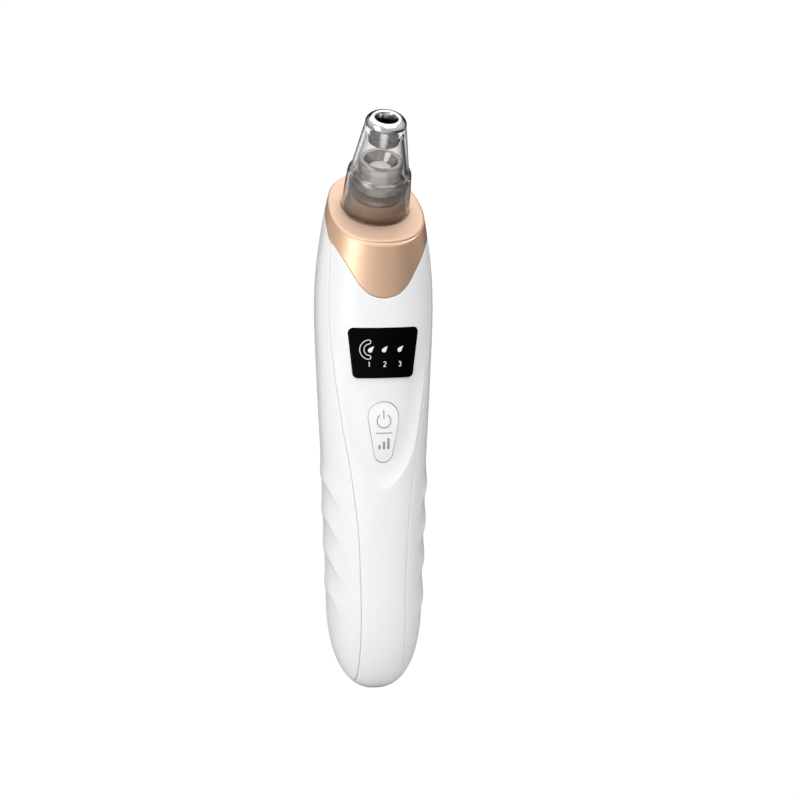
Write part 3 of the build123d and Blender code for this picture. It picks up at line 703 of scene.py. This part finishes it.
def head_coordinates(tree):
    """Sockets with a point's radius and height about the head axis, in metres."""
    place = add(tree, "TexCoord").outputs["Object"]
    start = add(tree, "VectorMath", {0: place, 1: HEAD * MM}, operation="SUBTRACT").outputs["Vector"]
    across = add(tree, "VectorMath", {0: start, 1: HEAD_AXIS}, operation="CROSS_PRODUCT")
    radius = add(tree, "VectorMath", {0: across.outputs["Vector"]}, operation="LENGTH")
    return radius.outputs["Value"], dot(tree, start, HEAD_AXIS)


def facing(tree):
    """Socket that is 0 where a surface faces the viewer and 1 at its outline."""
    return add(tree, "LayerWeight").outputs["Facing"]


def tint(tree, value, start, end, at_start, at_end):
    """Multiplies the base colour by a colour that runs with a value between two stops."""
    base = tree.nodes["Principled BSDF"].inputs["Base Color"]
    share = ramp(tree, value, start, end, curve="SMOOTHSTEP")
    run = blend_colors(tree, share, (*at_start, 1), (*at_end, 1))
    feed(tree, base, blend_colors(tree, 1.0, fed_by(base), run, "MULTIPLY"))


def painted_highlight_streak(tree, coordinates, start, least_radius, most_height, strength):
    """Painted highlight: a soft glowing streak down the side of a turned part that faces the viewer.

    It starts where the cosine of the turn away from the viewer passes start.
    """
    radius, height = coordinates
    surface = add(tree, "NewGeometry").outputs
    along = dot(tree, surface["Incoming"], HEAD_AXIS)
    across = calculate(tree, "SUBTRACT", 1.0, calculate(tree, "MULTIPLY", along, along))
    across = calculate(tree, "POWER", across, 0.5)
    turn = calculate(tree, "DIVIDE", dot(tree, surface["Incoming"], surface["Normal"]), across)
    glow = ramp(tree, turn, start, 1.0, 0.0, strength, "SMOOTHSTEP")
    glow = calculate(tree, "MULTIPLY", glow, calculate(tree, "GREATER_THAN", radius, least_radius * MM))
    glow = calculate(tree, "MULTIPLY", glow, calculate(tree, "LESS_THAN", height, most_height * MM))
    shader = tree.nodes["Principled BSDF"]
    # the painted highlight is drawn as emission
    shader.inputs["Emission Color"].default_value = (*WHITE, 1)
    feed(tree, shader.inputs["Emission Strength"], glow)


def smoked_clear(color):
    """Clear moulded plastic: smoked below the shoulder, dark at its foot, with painted shade towards its
    outline.
    """
    made = material("smoked_clear", (0.98, 0.97, 0.96), roughness=0.02, shade=0.02, bump=0.01, grain=120.0,
                    Transmission_Weight=1.0, IOR=1.14, Coat_Weight=1.0, Coat_IOR=1.5)
    tree = made.node_tree
    _, height = head_coordinates(tree)
    smoke = (color[0] * 0.97, color[1] * 0.97, color[2] * 0.96)
    clear = (0.965, 0.965, 0.965)
    tint(tree, height, (CONE_SHOULDER - 0.5) * MM, (CONE_SHOULDER + 0.9) * MM, smoke, clear)
    tint(tree, height, (CONE_FOOT - 0.15) * MM, (CONE_FOOT + 0.55) * MM, (0.35, 0.35, 0.37), WHITE)
    # painted shade: the clear walls darken towards their outline
    tint(tree, facing(tree), 0.3, 0.88, WHITE, (0.3, 0.29, 0.29))
    return made


def bright_chrome(color):
    """Chrome with painted shade in the bore, below the rim, on the ring's lower side and towards its outline,
    and a painted highlight streak on its sleeve.
    """
    made = material("chrome", color, **FINISHES["chrome"])
    tree = made.node_tree
    radius, height = head_coordinates(tree)
    # painted shade inside the bore
    tint(tree, radius, TIP_BORE_R * MM, (TIP_BORE_R + 0.35) * MM, (0.62, 0.62, 0.62), WHITE)
    # painted shade below the rim and on the lower side of the ring, leaving its crown lit
    tint(tree, height, (TIP_SEAT - 0.45) * MM, (TIP_SEAT + 0.15) * MM, (0.3, 0.3, 0.31), WHITE)
    tint(tree, height, (TIP_SEAT + 0.35) * MM, (TIP_SEAT + 1.65) * MM, (0.5, 0.5, 0.51), WHITE)
    # painted shade towards the outline
    tint(tree, facing(tree), 0.27, 0.72, WHITE, (0.1, 0.1, 0.1))
    # painted highlight down the sleeve, drawn as a glow
    painted_highlight_streak(tree, (radius, height), start=0.93, least_radius=TIP_BORE_R + 0.7, most_height=TIP_SEAT - 0.25,
           strength=0.62)
    return made


def plated_spout(color):
    """Glossy grey plastic, with painted shade towards its outline and where it meets the collar's neck, and a
    painted highlight streak.
    """
    made = material("spout_plastic", color, **FINISHES["grey_plastic"])
    tree = made.node_tree
    radius, height = head_coordinates(tree)
    # painted shade towards the outline
    tint(tree, facing(tree), 0.3, 0.65, WHITE, (0.55, 0.53, 0.52))
    # painted shade in the joint with the collar's neck
    tint(tree, height, (NECK_H + 0.3) * MM, (NECK_H + 0.9) * MM, (0.25, 0.24, 0.24), WHITE)
    # painted highlight down the barrel, drawn as a glow
    painted_highlight_streak(tree, (radius, height), start=0.88, least_radius=BARREL_R - 0.2, most_height=15.6, strength=0.16)
    return made


def satin_gold(color):
    """Rose-gold coating, duller on the collar's top face than on its polished wall."""
    made = material("rose_gold", (color[0] * 1.1, color[1] * 0.93, color[2] * 0.8), **FINISHES["rose_gold"])
    tree = made.node_tree
    _, height = head_coordinates(tree)
    start, end = -0.7 * MM, -0.1 * MM
    tint(tree, height, start, end, WHITE, (0.91, 1.03, 1.16))
    rough = tree.nodes["Principled BSDF"].inputs["Roughness"]
    feed(tree, rough, calculate(tree, "ADD", fed_by(rough), ramp(tree, height, start, end, 0.0, 0.28)))
    return made


def slot_materials():
    """One finish for each of the record's material slots, and the looks that only one piece has."""
    colors = {entry["slot"]: entry["base_color"][:3] for entry in frame["record"]["materials"]}
    special = {"smoked_clear": smoked_clear, "chrome": bright_chrome, "rose_gold": satin_gold}
    made = {}
    for slot, color in colors.items():
        if slot in special:
            made[slot] = special[slot](color)
        else:
            depth = BLACK_DEPTH if slot == "black_lens" else 1.0
            made[slot] = material(slot, [c * depth for c in color], **FINISHES[slot])
    made["spout"] = plated_spout(colors["grey_plastic"])
    made["seal"] = material("seal_rubber", (0.27, 0.25, 0.24), **FINISHES["dark_rubber"])
    made["display_ink"] = material("display_ink", (0.9, 0.9, 0.9), roughness=0.5, shade=0.02)
    made["button_ink"] = material("button_ink", (0.3, 0.3, 0.31), roughness=0.5, shade=0.05)
    return made


# ---------------------------------------------------------------- head pieces
def build_cup():
    """Cone: foot, skirt, shoulder and cone outside, then the seat of the tip and the inside."""
    foot = [(9.0, 0.05), (10.05, 0.05, 0.2), (10.12, 0.55, 0.3), (9.95, CONE_FOOT, 0.5)]
    skirt = [(9.15, 11.7, 0.3), (8.95, 12.25, 0.2), (8.42, 12.55, 0.3), (8.2, 13.4, 0.5)]
    cone = [(6.0, 26.6), (5.78, CONE_TOP, 0.3)]
    seat = [(4.35, CONE_TOP), (4.35, 24.6), (4.9, 24.2, 0.3)]
    inside = [(7.1, 13.2), (7.35, CONE_SHOULDER, 0.5), (8.1, 11.3, 0.5), (8.36, 9.0), (8.36, 5.6)]
    return lathe("cone_clear", rounded(foot + skirt + cone + seat + inside), segments=224)


def build_tip():
    """Chrome ring with its sleeve inside the cone and its crowned top."""
    low, sleeve_radius = 22.0, 4.3
    sleeve = [(TIP_BORE_R, low, 0.15), (sleeve_radius, low, 0.3), (sleeve_radius, TIP_SEAT)]
    side = [(5.75, TIP_SEAT, 0.15), (5.85, 28.0, 0.2), (5.6, 28.7, 0.4)]
    crown = [(5.0, 29.3, 0.4), (4.4, 29.65, 0.4), (3.8, 29.75, 0.4), (3.25, 29.68, 0.3), (TIP_BORE_R, 29.4)]
    return lathe("tip_ring", rounded(sleeve + side + crown), sharp=50.0)


def build_spout():
    """Nozzle: stem below, flange on the neck, groove of the seal, barrel and funnelled mouth."""
    channel_radius, stem_radius, flange_low = 1.2, 2.05, NECK_H + 0.03
    stem = [(channel_radius, -13.0), (stem_radius, -13.0), (stem_radius, -8.0), (5.0, -8.0)]
    flange = [(5.0, flange_low), (NECK_R, flange_low, 0.3), (NECK_R, GROOVE_LOW)]
    groove = [(6.6, GROOVE_LOW), (6.6, GROOVE_HIGH), (NECK_R, GROOVE_HIGH)]
    step = [(NECK_R, 10.2, 0.5), (6.9, 10.8, 0.3)]
    barrel = [(BARREL_R, 11.2, 0.4), (BARREL_R, 15.8, 0.3), (5.9, 16.2, 0.3)]
    mouth = [(4.8, 16.2, 0.3), (4.5, 15.7), (3.1, 13.4, 0.5), (3.1, 11.4), (channel_radius, 11.4)]
    return lathe("spout_body", rounded(stem + flange + groove + step + barrel + mouth))


def build_seal():
    """Rubber ring in the spout's groove, crowned outside."""
    back_radius, low, high = 6.62, GROOVE_LOW + 0.02, GROOVE_HIGH - 0.02
    crown = [(7.6, low, 0.3), (8.1, 6.7, 0.3), (8.3, 7.1, 0.3), (8.1, 7.5, 0.3), (7.6, high, 0.3)]
    return lathe("spout_ring_seal", rounded([(back_radius, low)] + crown + [(back_radius, high)]))


# ---------------------------------------------------------------- stage
def floor_material():
    """Pale paper, evenly lit where it is looked at and dimmer where it only bounces light."""
    made = material("floor", (0.72, 0.72, 0.73), roughness=0.8, shade=0.01, bump=0.02, grain=3.0)
    tree = made.node_tree
    shader = tree.nodes["Principled BSDF"]
    rays = add(tree, "LightPath").outputs
    place = add(tree, "TexCoord").outputs["Object"]
    reflected = ramp(tree, dot(tree, place, (1.3, 0.6, 0.0)), -0.5, 0.25, 0.95, 0.06)
    base = shader.inputs["Base Color"]
    feed(tree, base, blend_colors(tree, rays["Is Glossy Ray"], fed_by(base), reflected))
    aside = calculate(tree, "ABSOLUTE", add(tree, "SeparateXYZ", {"Vector": place}).outputs["X"])
    patch = ramp(tree, aside, 0.35, 0.9, 1.0, 0.0)
    through = calculate(tree, "MULTIPLY", rays["Is Transmission Ray"], patch)
    seen = calculate(tree, "MAXIMUM", rays["Is Camera Ray"], through)
    glow = add(tree, "Emission", {"Strength": PAPER_WHITE}).outputs["Emission"]
    mix = add(tree, "MixShader", {"Fac": seen, 1: shader.outputs["BSDF"], 2: glow})
    feed(tree, tree.nodes["Material Output"].inputs["Surface"], mix.outputs["Shader"])
    return made


def add_stage():
    """Pale sweep: a floor that curves up into a backdrop. Sizes are in metres."""
    half_width, near, bend, radius, top = 2.5, -2.5, 0.9, 0.5, 2.4
    profile = [(near, 0.0), (bend, 0.0)]
    for t in np.linspace(0, math.pi / 2, 24)[1:]:
        profile.append((bend + radius * math.sin(t), radius * (1 - math.cos(t))))
    profile.append((bend + radius, top))
    vertices = [(x, y, z) for y, z in profile for x in (-half_width, half_width)]
    faces = [(2 * i, 2 * i + 1, 2 * i + 3, 2 * i + 2) for i in range(len(profile) - 1)]
    mesh = bpy.data.meshes.new("floor")
    mesh.from_pydata(vertices, [], faces)
    mesh.shade_smooth()
    floor = bpy.data.objects.new("floor", mesh)
    bpy.context.scene.collection.objects.link(floor)
    mesh.materials.append(floor_material())


def place_facing(thing, target, turn, lift, distance):
    """Stands a lamp or a camera at a turn and lift, in degrees, round a target, looking at it."""
    turn, lift = math.radians(turn), math.radians(lift)
    back = Vector((math.sin(turn) * math.cos(lift), -math.cos(turn) * math.cos(lift), math.sin(lift)))
    thing.location = Vector(target) + back * distance
    thing.rotation_mode = "QUATERNION"
    thing.rotation_quaternion = (-back).to_track_quat("-Z", "Y")
    bpy.context.scene.collection.objects.link(thing)


def area_light(name, turn, lift, distance, size, share):
    """Soft box aimed at the object; share is how bright a white face turned to it becomes."""
    data = bpy.data.lights.new(name, "AREA")
    data.shape = "RECTANGLE"
    data.size, data.size_y = size
    data.energy = share * (math.pi * distance) ** 2
    place_facing(bpy.data.objects.new(name, data), (0, 0, 0.09), turn, lift, distance)


def add_lights():
    """Soft boxes, and a grey sky that the camera sees as white."""
    area_light("key", turn=-49, lift=14, distance=0.9, size=(0.5, 0.9), share=0.44)
    area_light("fill", turn=22, lift=55, distance=1.2, size=(0.8, 0.6), share=0.22)
    area_light("top", turn=10, lift=92, distance=1.1, size=(1.2, 1.2), share=0.42)
    world = bpy.data.worlds.new("studio")
    bpy.context.scene.world = world
    world.use_nodes = True
    tree = world.node_tree
    rays = add(tree, "LightPath").outputs
    place = add(tree, "TexCoord").outputs["Generated"]
    upwards = add(tree, "SeparateXYZ", {"Vector": place}).outputs["Z"]
    reflected = ramp(tree, upwards, 0.2, 0.95, 0.56, 0.75)
    pick = add(tree, "Mix", {"Factor": rays["Is Glossy Ray"], "A": 0.5, "B": reflected}).outputs["Result"]
    seen = add(tree, "Mix", {"Factor": rays["Is Camera Ray"], "A": pick, "B": PAPER_WHITE}).outputs["Result"]
    feed(tree, tree.nodes["Background"].inputs["Strength"], seen)
    tree.nodes["Background"].inputs["Color"].default_value = (*WHITE, 1)


def add_camera():
    """Slightly above the object, from its left, at half a metre."""
    data = bpy.data.cameras.new("camera")
    data.sensor_width = 36.0
    data.lens = 76.5
    data.shift_x = 0.0334
    data.shift_y = 0.004
    data.clip_start = 0.01
    camera = bpy.data.objects.new("camera", data)
    place_facing(camera, (0, 0, 0.085), turn=-11.5, lift=8.0, distance=0.5)
    bpy.context.scene.camera = camera


# ---------------------------------------------------------------- printed marks
def droplet(x, z):
    """Drop that leans to the right, pointed at its top."""
    lean = math.radians(-42)
    outline = arc(0, -0.35, 0.62, 160, 380, 16) + [(0.36, 0.45), (0.0, 1.25), (-0.36, 0.45)]
    return [(x + a * math.cos(lean) - b * math.sin(lean), z + a * math.sin(lean) + b * math.cos(lean))
            for a, b in outline]


def open_ring(x, z):
    """Outline of a thick C that opens to the right."""
    mean, half, start, end = 2.2, 0.58, 97, 263
    high_end, low_end = (arc(x, z, mean, turn, turn, 1)[0] for turn in (start, end))
    outline = arc(x, z, mean + half, start, end, 40)
    outline += arc(*low_end, half, end - 360, end - 180, 10)[1:]
    outline += arc(x, z, mean - half, end, start, 30)[1:]
    outline += arc(*high_end, half, start + 180, start + 360, 10)[1:]
    return stroke(outline, 0.22)


def numeral(digit, x, z):
    """A plain numeral 1.36 mm tall."""
    size = 0.8
    lines = {
        "1": [[(-0.25, 0.5), (0.05, 0.85), (0.05, -0.85)]],
        "2": [arc(0, 0.4, 0.45, 170, -40, 9) + [(-0.45, -0.85), (0.5, -0.85)]],
        "3": [arc(0, 0.42, 0.42, 150, -90, 9), arc(0, -0.42, 0.43, 90, -150, 9)],
    }[digit]
    shapes = []
    for line in lines:
        shapes += stroke([(x + a * size, z + b * size) for a, b in line], 0.22)
    return shapes


def build_display_marks():
    """Level marks: three drops over the numerals 1 to 3, and a ring part round the first."""
    shapes = [droplet(x, 102.6) for x in (-3.8, 0.15, 4.75)]
    shapes += open_ring(-4.15, 102.55)
    for x, digit in ((-4.3, "1"), (0.15, "2"), (4.6, "3")):
        shapes += numeral(digit, x, 98.35)
    return mark_mesh("display_marks", shapes, lens_surface)


def build_button_marks():
    """Power symbol, a dividing line and three rising bars."""
    shapes = stroke(arc(0, 82.0, 2.0, 125, 415, 30), 0.3)
    shapes += stroke([(0, 82.6), (0, 85.0)], 0.3)
    shapes += stroke([(-2.4, 78.5), (2.4, 78.5)], 0.28)
    for x, height in ((-1.3, 1.2), (0.0, 2.2), (1.3, 3.2)):
        shapes += stroke([(x, 73.8), (x, 73.8 + height)], 0.6)
    return mark_mesh("button_marks", shapes, button_surface)


# ---------------------------------------------------------------- put together
def dress(piece, made, slot, body, *nodes):
    """Gives a piece its finish and its body, and hides the CAD nodes it stands for."""
    piece.data.materials.clear()
    piece.data.materials.append(made)
    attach(piece, body)
    if nodes:
        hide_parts(*nodes)


def main():
    bpy.context.scene.view_settings.view_transform = "Standard"
    looks = slot_materials()
    for entry in frame["record"]["subparts"]:
        node = frame["nodes"][entry["node"]]
        node.data.materials.clear()
        node.data.materials.append(looks[entry["material_slot"]])

    dress(build_front_shell(), looks["white_shell"], "white_shell", "housing", "front_shell")
    dress(build_rear_shell(), looks["white_shell"], "white_shell", "housing", "rear_shell")
    dress(build_collar(), looks["rose_gold"], "rose_gold", "housing", "collar")
    dress(build_window(), looks["black_lens"], "black_lens", "housing", "display_window")
    dress(build_button(), looks["white_button"], "white_button", "button", "power_button")
    dress(build_cup(), looks["smoked_clear"], "smoked_clear", "probe", "probe_cup")
    dress(build_tip(), looks["chrome"], "chrome", "probe", "probe_tip")
    dress(build_spout(), looks["spout"], "grey_plastic", "housing", "spout")
    dress(build_seal(), looks["seal"], "dark_rubber", "housing", "spout_seal")
    dress(build_display_marks(), looks["display_ink"], "white_button", "housing")
    dress(build_button_marks(), looks["button_ink"], "grey_plastic", "button")
    add_stage()
    add_lights()
    add_camera()


main()
